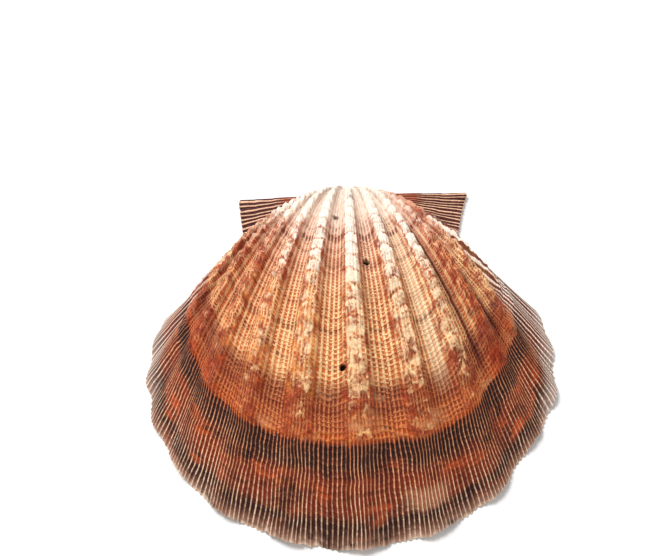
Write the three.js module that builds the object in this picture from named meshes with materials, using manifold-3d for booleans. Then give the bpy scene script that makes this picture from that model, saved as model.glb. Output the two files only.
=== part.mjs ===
// One valve of a large lion's-paw scallop, lying on its rim with the ribbed, domed side up.
// Millimetres, +Z up. The hinge line runs along X at the back (+Y), the round growing edge
// is at the front (-Y), and the whole rim lies in the plane z = 0.
//
// The valve is one grown piece. Its outer face is a family of growth lines: each one is the
// outline of the adult rim, made smaller and turned up about the hinge line. The inner face
// is the same face drawn in towards the middle of the rim by the thickness of the wall.

import * as THREE from "three";
import { mergeVertices } from "three/addons/utils/BufferGeometryUtils.js";
import Module from "manifold-3d";

// Outline of the rim
const VALVE_LENGTH = 140;              // hinge line to the front of the rim
const RIM_RADIUS = 68;                 // radius of the round part of the rim
const HINGE_BACK = 2;                  // hinge edge behind the beak
const HINGE_Y = (VALVE_LENGTH - HINGE_BACK) / 2 + 0.3; // puts the origin under the middle
const YOUNG_FAN = THREE.MathUtils.degToRad(55.3);      // half angle of the fan near the beak
const GROWN_FAN = THREE.MathUtils.degToRad(50.6);      // half angle of the fan at the rim

// Dome
const BEAK_TURN = 2.42;                // turn about the hinge line that the beak tends to
const TURN_EASE = 0.304;               // how late the turning happens
const FLANK_POWER = 14;                // how close to the shoulders the dome stays high
const FLANK_ROOT = 5;                  // how steeply it then drops
const BEAK_STAGE = 0.025;              // growth stage of the first growth line kept
const INNER_STAGE = 0.14;              // growth stage at which the hollow starts
const WALL = 2.3;                      // wall at the rim
const BEAK_WALL = 4.2;                 // wall under the beak

// Ribs
const RIB_PITCH = 0.19;                // in fan coordinate, where the whole fan is -1 to 1
const RIB_CROWDING = 0.2;              // how much closer the outer ribs stand
const MIDDLE_RIB = 0.033;              // fan coordinate of the middle rib
const RIB_CREST = 5.2;                 // scale of the height of the ribs
const INNER_FOLD = 0.55;               // part of that height that shows inside

// Ears, both as one plate that runs along the hinge line
const EAR_THICKNESS = 2.4;
const EAR_SEAT = 1.4;                  // how far the plate reaches into the wall of the disc
const EAR_STEPS = 5;                   // points along each shoulder
const FRONT_EAR = { length: 46, depth: 20.5, waist: 41, stage: 0.4 };
const REAR_EAR = { length: 42, depth: 33, waist: 39.5, stage: 0.6 };

// Pit under the beak that held the ligament
const PIT = { width: 7, length: 5, depth: 3, back: 1.2 };

// Mesh
const COLUMNS = 88;
const ROWS = 24;
const ROW_EASE = 1.25;
const SHOULDER_CROWDING = 0.1;

const { lerp } = THREE.MathUtils;
const MIDDLE_OF_RIM = new THREE.Vector3(0, HINGE_Y - 75, 0);

// Distance from the beak to the rim, in the plane of the rim, in one direction of the fan
function rimReach(angle) {
  const centre = VALVE_LENGTH - RIM_RADIUS;
  const across = centre * Math.sin(angle);
  return centre * Math.cos(angle) + Math.sqrt(RIM_RADIUS ** 2 - across ** 2);
}

// Smooth outer face. fan runs from -1 to 1 across the valve, stage from 0 (beak) to 1 (rim)
function smoothPoint(fan, stage) {
  const angle = fan * lerp(YOUNG_FAN, GROWN_FAN, stage ** 1.5);
  const reach = stage * rimReach(angle);
  const turn = BEAK_TURN * (1 - stage ** TURN_EASE);
  const flank = Math.max(0, 1 - Math.abs(fan) ** FLANK_POWER) ** (1 / FLANK_ROOT);
  return new THREE.Vector3(
    reach * Math.sin(angle),
    HINGE_Y - reach * Math.cos(angle) * Math.cos(turn),
    reach * Math.cos(angle) * Math.sin(turn) * flank,
  );
}

// Height of the ribs over the smooth face
function ribHeight(fan, stage) {
  const phase = ((fan - MIDDLE_RIB) / RIB_PITCH) * (1 + RIB_CROWDING * fan ** 2);
  const wave = 0.5 + 0.5 * Math.cos(2 * Math.PI * phase);
  const crest = RIB_CREST * stage ** 0.8 * (1 - 0.75 * stage ** 4);
  return crest * wave * (1 - fan ** 6);
}

// Outward direction of the smooth face
function outward(fan, stage) {
  const step = 0.004;
  const across = smoothPoint(fan + step, stage).sub(smoothPoint(fan - step, stage));
  const along = smoothPoint(fan, stage + step).sub(smoothPoint(fan, stage - step));
  return along.cross(across).normalize();
}

// A point of the outer face, or of the same face with only part of the ribs' height
function ribbedPoint(fan, stage, share) {
  const point = smoothPoint(fan, stage);
  const height = share * ribHeight(fan, stage);
  if (height > 0) {
    point.addScaledVector(outward(fan, stage), height);
  }
  if (stage === 1 || Math.abs(fan) === 1) {
    point.z = 0;
  }
  return point;
}

function innerPoint(fan, stage) {
  const point = ribbedPoint(fan, stage, INNER_FOLD);
  const inward = MIDDLE_OF_RIM.clone().sub(point);
  return point.addScaledVector(inward.normalize(), lerp(BEAK_WALL, WALL, stage));
}

// The disc: outer face, inner face, rim, and the block of shell under the beak
function discGeometry() {
  const positions = [];
  const index = [];
  const addPoint = (point) => positions.push(point.x, point.y, point.z) / 3 - 1;
  const addFace = (a, b, c) => index.push(a, b, c);
  const addQuad = (a, b, c, d) => {
    addFace(a, b, c);
    addFace(a, c, d);
  };

  const fans = [];
  for (let column = 0; column <= COLUMNS; column += 1) {
    const even = (2 * column) / COLUMNS - 1;
    fans.push(even * (1 + SHOULDER_CROWDING * (1 - even ** 8)));
  }
  const stages = [];
  for (let row = 0; row <= ROWS; row += 1) {
    stages.push(lerp(BEAK_STAGE, 1, (row / ROWS) ** ROW_EASE));
  }

  const outer = stages.map((stage) => fans.map((fan) => addPoint(ribbedPoint(fan, stage, 1))));
  const firstInner = stages.findIndex((stage) => stage >= INNER_STAGE);
  const innerStages = stages.slice(firstInner);
  const inner = innerStages.map((stage) => fans.map((fan) => addPoint(innerPoint(fan, stage))));
  const lastInner = inner.length - 1;

  for (let row = 0; row < ROWS; row += 1) {
    for (let column = 0; column < COLUMNS; column += 1) {
      const [a, b] = [outer[row], outer[row + 1]];
      addQuad(a[column], b[column], b[column + 1], a[column + 1]);
    }
  }
  for (let row = 0; row < lastInner; row += 1) {
    for (let column = 0; column < COLUMNS; column += 1) {
      const [a, b] = [inner[row], inner[row + 1]];
      addQuad(a[column], a[column + 1], b[column + 1], b[column]);
    }
  }

  // The rim, which the valve lies on: the front arc, then the two straight shoulders
  for (let column = 0; column < COLUMNS; column += 1) {
    const [edge, lip] = [outer[ROWS], inner[lastInner]];
    addQuad(edge[column], lip[column], lip[column + 1], edge[column + 1]);
  }
  for (let row = 0; row < lastInner; row += 1) {
    const [edge, nextEdge] = [outer[firstInner + row], outer[firstInner + row + 1]];
    const [lip, nextLip] = [inner[row], inner[row + 1]];
    addQuad(edge[0], lip[0], nextLip[0], nextEdge[0]);
    addQuad(edge[COLUMNS], nextEdge[COLUMNS], nextLip[COLUMNS], lip[COLUMNS]);
  }

  // The back wall of the hollow, the blunt tip of the beak, and the flat base between them
  const middle = (left, right) => {
    const ends = [left, right].map((id) => new THREE.Vector3().fromArray(positions, 3 * id));
    return addPoint(ends[0].add(ends[1]).multiplyScalar(0.5));
  };
  const sill = middle(inner[0][0], inner[0][COLUMNS]);
  const heel = middle(outer[0][0], outer[0][COLUMNS]);
  for (let column = 0; column < COLUMNS; column += 1) {
    addFace(sill, inner[0][column + 1], inner[0][column]);
    addFace(heel, outer[0][column], outer[0][column + 1]);
  }
  addFace(sill, inner[0][0], outer[firstInner][0]);
  addFace(sill, outer[firstInner][COLUMNS], inner[0][COLUMNS]);
  for (let row = 0; row < firstInner; row += 1) {
    addFace(sill, outer[row + 1][0], outer[row][0]);
    addFace(sill, outer[row][COLUMNS], outer[row + 1][COLUMNS]);
  }
  addFace(sill, outer[0][0], heel);
  addFace(sill, heel, outer[0][COLUMNS]);

  const geometry = new THREE.BufferGeometry();
  geometry.setAttribute("position", new THREE.Float32BufferAttribute(positions, 3));
  geometry.setIndex(index);
  return geometry;
}

// The ears: a plate whose back edge is the hinge line. The front ear, on the right, stops
// short of the disc at the notch that the living animal anchored itself through.
function earGeometry() {
  const backEdge = HINGE_Y + HINGE_BACK;
  const seat = (side, stage) => {
    const shoulder = smoothPoint(side, stage);
    const inward = MIDDLE_OF_RIM.clone().sub(shoulder).normalize();
    return shoulder.addScaledVector(inward, EAR_SEAT);
  };
  const outline = new THREE.Shape();
  outline.moveTo(-REAR_EAR.length, backEdge);
  const rearFoot = seat(-1, REAR_EAR.stage);
  outline.quadraticCurveTo(-REAR_EAR.waist, HINGE_Y - REAR_EAR.depth / 2, rearFoot.x, rearFoot.y);
  for (let step = EAR_STEPS; step >= 1; step -= 1) {
    const point = seat(-1, (REAR_EAR.stage * step) / (EAR_STEPS + 1));
    outline.lineTo(point.x, point.y);
  }
  for (let step = 1; step <= EAR_STEPS + 1; step += 1) {
    const point = seat(1, (FRONT_EAR.stage * step) / (EAR_STEPS + 1));
    outline.lineTo(point.x, point.y);
  }
  outline.lineTo(FRONT_EAR.waist, HINGE_Y - FRONT_EAR.depth);
  outline.quadraticCurveTo(
    FRONT_EAR.waist + 1, HINGE_Y - FRONT_EAR.depth / 2, FRONT_EAR.length, backEdge,
  );
  return new THREE.ExtrudeGeometry(outline, {
    depth: EAR_THICKNESS,
    bevelEnabled: false,
    curveSegments: 8,
  });
}

// The ligament pit: a triangular hollow in the base, pointed at the beak
function pitGeometry() {
  const point = HINGE_Y - PIT.back;
  const triangle = new THREE.Shape();
  triangle.moveTo(0, point);
  triangle.lineTo(-PIT.width / 2, point - PIT.length);
  triangle.lineTo(PIT.width / 2, point - PIT.length);
  const below = 1;
  const geometry = new THREE.ExtrudeGeometry(triangle, {
    depth: PIT.depth + below,
    bevelEnabled: false,
  });
  return geometry.translate(0, 0, -below);
}

const wasm = await Module();
wasm.setup();

function toSolid(source) {
  const bare = source.clone();
  bare.deleteAttribute("normal");
  bare.deleteAttribute("uv");
  const merged = mergeVertices(bare, 1e-4);
  return new wasm.Manifold(new wasm.Mesh({
    numProp: 3,
    vertProperties: new Float32Array(merged.attributes.position.array),
    triVerts: new Uint32Array(merged.index.array),
  }));
}

function toGeometry(solid) {
  const mesh = solid.getMesh();
  const geometry = new THREE.BufferGeometry();
  geometry.setAttribute("position", new THREE.BufferAttribute(mesh.vertProperties, 3));
  geometry.setIndex(new THREE.BufferAttribute(mesh.triVerts, 1));
  geometry.computeVertexNormals();
  return geometry;
}

const solid = toSolid(discGeometry()).add(toSolid(earGeometry())).subtract(toSolid(pitGeometry()));

const valve = new THREE.Mesh(
  toGeometry(solid),
  new THREE.MeshStandardMaterial({ color: 0xb5683c, roughness: 0.55, metalness: 0 }),
);
valve.name = "scallop_valve";

const group = new THREE.Group();
group.add(valve);

export default group;
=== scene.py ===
# %% [markdown]
# # A large lion's-paw scallop valve
# A scallop valve is one grown piece. New shell is only ever added along the rim, so the whole
# outside is a family of growth lines: each one is the adult rim, made smaller and turned up
# about the hinge line. That gives two natural coordinates, and this file uses them all the way:
# the fan (-1 at the rear shoulder, 0 in the middle, 1 at the front shoulder) and the growth
# stage (0 at the beak, 1 at the rim). Ribs and riblets are lines of equal fan, and growth lines
# and colour bands are lines of equal stage.

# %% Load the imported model
import math

import bmesh
import bpy
import numpy as np
from mathutils import Matrix, Vector


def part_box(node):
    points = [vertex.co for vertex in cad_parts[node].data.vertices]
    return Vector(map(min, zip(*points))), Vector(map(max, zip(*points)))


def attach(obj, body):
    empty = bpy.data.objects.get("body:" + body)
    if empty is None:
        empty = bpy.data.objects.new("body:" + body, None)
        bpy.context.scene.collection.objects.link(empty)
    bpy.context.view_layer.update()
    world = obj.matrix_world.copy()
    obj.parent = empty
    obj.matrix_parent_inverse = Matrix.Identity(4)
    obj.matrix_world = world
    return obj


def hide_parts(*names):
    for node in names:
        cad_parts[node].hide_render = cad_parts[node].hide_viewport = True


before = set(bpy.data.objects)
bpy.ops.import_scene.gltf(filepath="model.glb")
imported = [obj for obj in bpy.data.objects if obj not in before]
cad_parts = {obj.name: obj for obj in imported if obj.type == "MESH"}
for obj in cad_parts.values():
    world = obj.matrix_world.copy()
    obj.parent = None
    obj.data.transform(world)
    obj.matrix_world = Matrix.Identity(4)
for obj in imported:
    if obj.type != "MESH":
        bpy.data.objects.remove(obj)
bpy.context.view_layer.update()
low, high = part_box("scallop_valve")
print("valve box in mm:", [round(1000 * side, 1) for side in high - low])

# %% [markdown]
# ## The growth formula
# The sizes repeat those of the solid that the valve replaces, in millimetres, and are scaled to
# metres only when a mesh is written. The shape is written as a function of fan and stage, not
# sculpted, because a sculpted dome never gets the even, self-similar curve of a grown shell.

# %% Sizes of the dome
MM = 0.001
VALVE_LENGTH = 140.0
RIM_RADIUS = 68.0
HINGE_BACK = 2.0
HINGE_Y = high.y / MM - HINGE_BACK
YOUNG_FAN, GROWN_FAN = math.radians(55.3), math.radians(50.6)
BEAK_TURN, TURN_EASE = 2.42, 0.304
FLANK_POWER, FLANK_ROOT = 14, 5
BEAK_STAGE = 0.03
MIDDLE_OF_RIM = np.array([0.0, HINGE_Y - 75.0, 0.0])
RIM_BULGE, RIM_DENT = 0.01, 0.016


def blend_between(start, end, share):
    return start + (end - start) * share


def ease(value, start, end):
    """0 below start, 1 above end, and a smooth rise between them."""
    share = np.clip((value - start) / (end - start), 0, 1)
    return share * share * (3 - 2 * share)


def bump_at(value, centre, width):
    return np.exp(-(((value - centre) / width) ** 2))


def unit(vectors):
    return vectors / np.linalg.norm(vectors, axis=-1, keepdims=True)


def smooth_dome(fan, stage):
    """Points of the outer face without ribs, as an array of x, y, z in mm."""
    angle = fan * blend_between(YOUNG_FAN, GROWN_FAN, stage**1.5)
    centre = VALVE_LENGTH - RIM_RADIUS
    reach = centre * np.cos(angle) + np.sqrt(RIM_RADIUS**2 - (centre * np.sin(angle)) ** 2)
    worn_edge = RIM_DENT * bump_at(fan, 0.53, 0.1) - RIM_BULGE * bump_at(fan, 0.72, 0.08)
    reach = stage * reach * (1 - worn_edge * stage**6)
    turn = BEAK_TURN * (1 - stage**TURN_EASE)
    flank = np.clip(1 - np.abs(fan) ** FLANK_POWER, 0, 1) ** (1 / FLANK_ROOT)
    forward = reach * np.cos(angle)
    return np.stack(
        [
            reach * np.sin(angle),
            HINGE_Y - forward * np.cos(turn),
            forward * np.sin(turn) * flank,
        ],
        axis=-1,
    )


def outward(fan, stage):
    """Unit normals of the smooth dome, from its slopes in the two growth directions."""
    step = 0.004
    across = smooth_dome(fan + step, stage) - smooth_dome(fan - step, stage)
    along = smooth_dome(fan, stage + step) - smooth_dome(fan, stage - step)
    return unit(np.cross(along, across))


def towards_middle(point):
    """Unit vectors from points of the dome to the middle of the rim: the way the wall goes in."""
    return unit(MIDDLE_OF_RIM - point)


# %% [markdown]
# ## Seeded noise
# Shells are regular but never exact. One small value-noise function, with a seed for each use,
# gives every irregular height in this file, so that each run makes the same shell.

# %% Value noise
LATTICE = 257


def value_noise(across, along, seed):
    """Smooth noise from 0 to 1, with features about one unit wide in both directions."""
    lattice = np.random.default_rng(seed).random((LATTICE, LATTICE))
    column, row = np.floor(across).astype(int), np.floor(along).astype(int)
    part_x, part_y = across - column, along - row
    left, right = column % LATTICE, (column + 1) % LATTICE
    near_row, far_row = row % LATTICE, (row + 1) % LATTICE
    part_x = part_x * part_x * (3 - 2 * part_x)
    part_y = part_y * part_y * (3 - 2 * part_y)
    near = lattice[near_row, left] * (1 - part_x) + lattice[near_row, right] * part_x
    far = lattice[far_row, left] * (1 - part_x) + lattice[far_row, right] * part_x
    return near * (1 - part_y) + far * part_y


def rough_noise(across, along, seed, octaves=3):
    """Value noise with finer and weaker copies of itself, centred on 0."""
    total, weight = 0.0, 0.0
    for octave in range(octaves):
        size = 2.0**octave
        total = total + (value_noise(across * size, along * size, seed + octave) - 0.5) / size
        weight += 0.5 / size
    return total / weight


# %% [markdown]
# ## Ribs, knuckles and riblets
# Three sizes of relief sit on the dome. About a dozen broad ribs carry overlapping knuckles,
# where the young shell grew hollow scales that later filled in. Fine riblets, about a
# millimetre and a half apart at the rim, cover ribs and gaps alike. The riblets are real ridges
# here: a bump map would vanish along the outline, where a scallop shows them best.

# %% Relief of the outer face, with heights in mm
RIB_HEIGHT = 4.9
KNUCKLE_HEIGHT = 1.35
CRUST_HEIGHT = 0.8
YOUNG_RIBLET_HEIGHT, GROWN_RIBLET_HEIGHT = 0.18, 0.45
RIM_LIFT = 0.75
SHARP_HALT = (0.812, 0.822)
DROP_AT_SHARP_HALT = 0.38
HALT_RIDGES = ((0.385, 0.25), (0.47, 0.15), (0.61, 0.25), (0.7, 0.12), (0.765, 0.22))
RIB_PITCH, RIB_CROWDING, MIDDLE_RIB = 0.19, 0.0075, 0.033
RIBLETS_PER_FAN = 84.0
RIBLET_THINNING = 0.084
RIBLET_CROWDING_ON_RIBS = 0.4
YOUNG_RIBLETS = 2 / 3
NEW_RIBLETS_COME = (0.66, 0.8)
CLOSE_KNUCKLES = 9


def rib_phase(fan):
    """A whole number at the crest of each rib."""
    step = (fan - MIDDLE_RIB) / RIB_PITCH
    return step * (1 + RIB_CROWDING * step**2)


def riblet_phase(fan):
    """A whole number at the crest of each full-grown riblet."""
    even = RIBLETS_PER_FAN * (fan - RIBLET_THINNING * fan**5)
    return even + RIBLET_CROWDING_ON_RIBS * np.sin(2 * np.pi * rib_phase(fan))


def rib_wave(fan):
    """0 in the gaps between ribs and 1 on their crests, with flattened tops."""
    wave = 0.5 + 0.5 * np.cos(2 * np.pi * rib_phase(fan))
    return blend_between(wave, wave * wave * (3 - 2 * wave), 0.6)


def rib_relief(fan, stage):
    uneven = 1 + 0.22 * (value_noise(rib_phase(fan) + 20.5, stage * 3, 11) - 0.5)
    crest = RIB_HEIGHT * stage**0.64 * (1 - 0.72 * ease(stage, 0.5, 0.95))
    return crest * uneven * rib_wave(fan)


def knuckle_count(fan, stage):
    """Passes a whole number where the next knuckle starts. Its upper end is a round cap."""
    rib = np.round(rib_phase(fan))
    even = 11 * stage + 19 * stage**2 + 3.7 * np.sin(2.4 * rib) + 0.3 * np.sin(17 * stage + rib)
    even = even + CLOSE_KNUCKLES * (1 - np.exp(-stage / 0.12))
    uneven = 0.45 * rough_noise(fan * 16, stage * 12, 61)
    return even + uneven + 8 - 0.75 * (1 - rib_wave(fan))


def knuckle_relief(fan, stage):
    """Overlapping knuckles on the crests: each starts with a steep cap and then fades away."""
    count = knuckle_count(fan, stage)
    part = count - np.floor(count)
    cap = ease(part, 0, 0.22) * (1 - part) ** 0.6
    on_crest = ease(rib_wave(fan), 0.3, 0.85)
    where = ease(stage, 0.1, 0.26) * (1 - 0.55 * ease(stage, 0.5, 0.62))
    where = where * (1 - ease(stage, 0.7, 0.82))
    return KNUCKLE_HEIGHT * cap * on_crest * where


def crust_relief(fan, stage):
    """Worn, crusty lumps on the crests of the middle of the disc."""
    lumps = rough_noise(fan * 38, stage * 52, 31)
    where = ease(stage, 0.3, 0.5) * (1 - ease(stage, 0.8, 0.84))
    return CRUST_HEIGHT * lumps * ease(rib_wave(fan), 0.3, 0.85) * where


def riblet_relief(phase, fan, stage):
    """Riblets. A young shell has two for every three at the rim, and later the rest come in."""
    first = 0.5 + 0.5 * np.cos(2 * np.pi * YOUNG_RIBLETS * phase)
    grown = 0.5 + 0.5 * np.cos(2 * np.pi * phase)
    height = blend_between(YOUNG_RIBLET_HEIGHT, GROWN_RIBLET_HEIGHT, ease(stage, 0.2, 0.95))
    on_rib = 1 - 0.45 * rib_wave(fan) * (1 - 0.4 * ease(stage, 0.8, 0.9))
    return height * on_rib * blend_between(first, grown, ease(stage, *NEW_RIBLETS_COME))


def growth_line(fan, stage):
    """The stage that a growth line really belongs to: the lines wander a little."""
    wander = 0.006 * rough_noise(fan * 7, stage * 2, 41)
    wander = wander + blend_between(0.007, -0.003, ease(stage, 0.72, 0.84)) * rib_wave(fan)
    skew = 0.02 * bump_at(fan, -0.75, 0.25) - 0.015 * bump_at(fan, 0.3, 0.14)
    return stage + wander + skew * ease(stage, 0.45, 0.8) * (1 - ease(stage, 0.9, 1.0))


def growth_ledges(fan, stage):
    """Halts in growth leave a low ridge. After the sharp one the shell goes on a little lower."""
    at = growth_line(fan, stage)
    ledge = -DROP_AT_SHARP_HALT * ease(at, *SHARP_HALT) * (1 - ease(at, 0.9, 1.0))
    for halt, height in HALT_RIDGES:
        ridge = bump_at(at, halt - 0.006, 0.008) - bump_at(at, halt + 0.008, 0.01)
        ledge = ledge + height * ridge
    return ledge


def rim_lift(fan, stage):
    """The ribs arch up at the rim, so that only the gaps between them touch the ground."""
    return RIM_LIFT * rib_wave(fan) * (1 - fan**6) * ease(stage, 0.86, 1.0) ** 2


def worn_rim(fan, stage, points):
    """Chips and wear along the rim, with the ribs still reaching a little further."""
    wear = 0.006 * rough_noise(fan * 16, fan * 0, 91) + 0.003 * rough_noise(fan * 70, fan * 0, 95)
    wear = wear - 0.0025 * (rib_wave(fan) - 0.5)
    share = wear * ease(stage, 0.88, 1.0) * np.clip(1 - fan**8, 0, 1)
    points[..., 0] *= 1 - share
    points[..., 1] = HINGE_Y + (points[..., 1] - HINGE_Y) * (1 - share)
    return points


def outer_point(fan, stage, phase):
    """Points of the outer face in mm, with all of its relief."""
    height = rib_relief(fan, stage) + knuckle_relief(fan, stage) + crust_relief(fan, stage)
    height = height + riblet_relief(phase, fan, stage) + growth_ledges(fan, stage)
    height = height * np.clip(1 - fan**14, 0, 1)
    point = smooth_dome(fan, stage) + outward(fan, stage) * height[..., None]
    point[..., 2] += rim_lift(fan, stage)
    return worn_rim(fan, stage, point)


# %% [markdown]
# ## The outer face, modelled as a flat map and then rolled up
# The face starts as a flat grid whose two directions are fan and stage. On this map the edits
# are easy: the rows near each borehole are cut finer with the subdivide operator. The columns
# are placed by riblet, five to each, so that every ridge gets the same crest and the same
# groove. Then each point of the map moves to its place on the grown dome. Towards the
# shoulders the columns start close together and sweep outwards as the shell grows.

# %% Helpers for meshes
def deselect_all():
    if bpy.context.mode != "OBJECT":
        bpy.ops.object.mode_set(mode="OBJECT")
    bpy.ops.object.select_all(action="DESELECT")


def add_map(name, columns, rows):
    """A flat grid, 1 by 1, centred on the origin."""
    deselect_all()
    bpy.ops.mesh.primitive_grid_add(x_subdivisions=columns, y_subdivisions=rows, size=1)
    piece = bpy.context.object
    piece.name = name
    return piece


def read_points(piece):
    flat = np.empty(3 * len(piece.data.vertices))
    piece.data.vertices.foreach_get("co", flat)
    return flat.reshape(-1, 3)


def write_points(piece, points_mm):
    piece.data.vertices.foreach_set("co", (points_mm * MM).ravel())
    piece.data.update()


def write_values(piece, **values):
    """Named numbers on the vertices, which the materials read."""
    for name, numbers in values.items():
        layer = piece.data.attributes.new(name, "FLOAT", "POINT")
        layer.data.foreach_set("value", np.asarray(numbers, dtype=np.float32))


# %% Columns and rows of the map
COLUMNS_PER_RIBLET = 5
FLANK_COLUMNS = 14
FLANK_START = 0.985
ROWS = 96
STAGE_OF_ROWS = {0.0: BEAK_STAGE, 0.14: 0.24, 0.72: 0.7, 0.87: 0.84, 1.0: 1.0}
SWEEP_FROM = 0.66

fine_fan = np.linspace(-1, 1, 20001)
first_riblet = int(np.ceil(riblet_phase(np.array(-FLANK_START))))
last_riblet = int(np.floor(riblet_phase(np.array(FLANK_START))))
riblet_columns = (last_riblet - first_riblet) * COLUMNS_PER_RIBLET
column_phases = np.linspace(first_riblet, last_riblet, riblet_columns + 1)
column_fans = np.interp(column_phases, riblet_phase(fine_fan), fine_fan)
flank_steps = (1 - np.arange(FLANK_COLUMNS + 1) / FLANK_COLUMNS)[1:] ** FLANK_ROOT
front_flank = 1 - (1 - column_fans[-1]) * flank_steps
rear_flank = -1 + (1 + column_fans[0]) * flank_steps
column_fans = np.concatenate([rear_flank[::-1], column_fans, front_flank])
COLUMNS = len(column_fans) - 1
column_phases = riblet_phase(column_fans)
print("riblets:", last_riblet - first_riblet, "columns:", COLUMNS, "rows:", ROWS)


def sweep(fan, stage):
    """Riblets on the sides start close to the outer rib and sweep outwards as the shell grows."""
    past = np.clip((np.abs(fan) - SWEEP_FROM) / (1 - SWEEP_FROM), 0, 1)
    power = blend_between(2.2, 0.9, ease(stage, 0.3, 1.0))
    swept = SWEEP_FROM + (1 - SWEEP_FROM) * past**power
    return np.where(np.abs(fan) > SWEEP_FROM, np.sign(fan) * swept, fan)


def from_map(points):
    """Fan, stage and riblet phase of points on the flat map."""
    column = (points[:, 0] + 0.5) * COLUMNS
    shares, stages = list(STAGE_OF_ROWS.keys()), list(STAGE_OF_ROWS.values())
    stage = np.interp(points[:, 1] + 0.5, shares, stages)
    fan = np.interp(column, np.arange(COLUMNS + 1), column_fans)
    phase = np.interp(column, np.arange(COLUMNS + 1), column_phases)
    sway = 0.0045 * rough_noise(phase * 0.16, stage * 22, 51) * ease(stage, 0.35, 0.9)
    kink = 0.006 * rough_noise(phase * 0.07, stage * 30, 57) * bump_at(stage, 0.86, 0.07)
    fan = sweep(fan, stage)
    return fan + (sway + kink) * np.clip(1 - fan**8, 0, 1), stage, phase


# %% Boreholes: fan, stage, radius and depth in mm
BOREHOLES = (
    (0.11, 0.46, 1.45, 2.0),
    (-0.08, 0.32, 1.3, 1.0),
    (0.07, 0.253, 1.4, 0.6),
    (-0.015, 0.685, 1.25, 1.8),
    (0.65, 0.665, 0.85, 1.4),
)
HOLE_CUTS = 6
HOLE_MARGIN = 0.9
DEEP_HOLE = 1.5


def cut_rows_near_holes(piece):
    """Cuts the map's rows finer round each borehole, so that its wall has points to stand on."""
    fan, stage, _ = from_map(read_points(piece))
    place = smooth_dome(fan, stage)
    near = np.zeros(len(place), bool)
    for hole_fan, hole_stage, radius, _ in BOREHOLES:
        centre = smooth_dome(np.array([hole_fan]), np.array([hole_stage]))
        near |= np.linalg.norm(place - centre, axis=1) < radius + HOLE_MARGIN
    deselect_all()
    piece.select_set(True)
    bpy.context.view_layer.objects.active = piece
    bpy.ops.object.mode_set(mode="EDIT")
    bpy.ops.mesh.select_mode(type="EDGE")
    bpy.ops.mesh.select_all(action="DESELECT")
    bpy.ops.object.mode_set(mode="OBJECT")
    flat = read_points(piece)
    for edge in piece.data.edges:
        a, b = edge.vertices
        edge.select = bool((near[a] or near[b]) and abs(flat[a, 0] - flat[b, 0]) < 1e-6)
    bpy.ops.object.mode_set(mode="EDIT")
    bpy.ops.mesh.subdivide(number_cuts=HOLE_CUTS)
    bpy.ops.object.mode_set(mode="OBJECT")


def sink_boreholes(fan, stage, points):
    """Pushes the holes into the shell. Returns the points and, for each point, how deep it lies in
    the holes, which sets the painted shade inside them.
    """
    inside = np.zeros(len(points))
    for hole_fan, hole_stage, radius, depth in BOREHOLES:
        centre = outer_point(np.array([hole_fan]), np.array([hole_stage]), np.array([0.5]))
        away = np.linalg.norm(points - centre, axis=1)
        pit = 1 - ease(away, 0.72 * radius, radius)
        points = points - outward(fan, stage) * (depth * pit)[:, None]
        inside = np.maximum(inside, pit * min(depth, DEEP_HOLE) / DEEP_HOLE)
    return points, inside


# %% Where the ribs are white and where the shell is red
RIB_PALENESS = (0.4, 0.3, 0.5, 0.22, 0.55, 0.72, 0.95, 0.85, 0.85, 0.36, 0.62, 0.4, 0.4)
REAR_RIB = -6


def whiteness(fan, stage):
    """How much of a rib is white or cream: most on the young shell and on the middle ribs."""
    on_rib = ease(rib_wave(fan), 0.55, 0.95)
    by_rib = np.interp(rib_phase(fan), REAR_RIB + np.arange(len(RIB_PALENESS)), RIB_PALENESS)
    by_stage = 1.0 - 0.36 * ease(stage, 0.46, 0.54) - 0.24 * ease(stage, 0.7, 0.76)
    by_stage = by_stage * (1 - ease(growth_line(fan, stage), 0.81, 0.822))
    young = 1 - ease(stage, 0.3, 0.43)
    return np.maximum(on_rib * by_stage * by_rib, young * (0.6 + 0.4 * on_rib))


def redness(fan, stage):
    """How far the colours lean to red brown: the rear side, a front rib and the front shoulder."""
    rear = 0.5 * bump_at(fan, -0.6, 0.3) * ease(stage, 0.36, 0.5)
    front_rib = bump_at(fan, 0.575, 0.06) * ease(stage, 0.4, 0.5)
    shoulder = ease(fan, 0.4, 0.7) * ease(stage, 0.12, 0.24) * (1 - ease(stage, 0.36, 0.44))
    return np.maximum(np.maximum(rear, shoulder), front_rib) * (1 - ease(stage, 0.8, 0.86))


def crease(fan, stage):
    """Painted shade: darkening in the tight gaps beside the outer ribs."""
    gaps = bump_at(fan, 0.495, 0.016) + bump_at(fan, 0.645, 0.016)
    gaps = gaps + 0.5 * bump_at(fan, -0.765, 0.012) + 0.4 * bump_at(fan, -0.585, 0.012)
    return gaps * ease(stage, 0.34, 0.42) * (1 - ease(stage, 0.74, 0.84))


outer = add_map("shell_valve", COLUMNS, ROWS)
cut_rows_near_holes(outer)
fan, stage, phase = from_map(read_points(outer))
points, in_hole = sink_boreholes(fan, stage, outer_point(fan, stage, phase))
write_points(outer, points)
write_values(
    outer,
    fan=fan,
    stage=stage,
    growth=growth_line(fan, stage),
    riblet=phase,
    rib=rib_wave(fan),
    knuckle=knuckle_count(fan, stage),
    white=whiteness(fan, stage),
    red=redness(fan, stage),
    # painted shade in the tight gaps beside the outer ribs
    crease=crease(fan, stage),
    # painted shade inside the boreholes
    hole=in_hole,
    side=np.zeros(len(fan)),
)
print("outer face:", len(outer.data.vertices), "points")

# %% [markdown]
# ## The inner face
# The inside is the same dome, drawn in towards the middle of the rim by the thickness of the
# wall. It keeps half the height of the ribs, as folds, and none of the riblets. It uses every
# fourth row and column of the outer map, so that the two rims can be sewn together exactly.

# %% Inner face
SKIP = 4
RIM_WALL, BEAK_WALL = 1.5, 4.2
INNER_FOLD, INNER_LIFT = 0.5, 0.85


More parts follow.
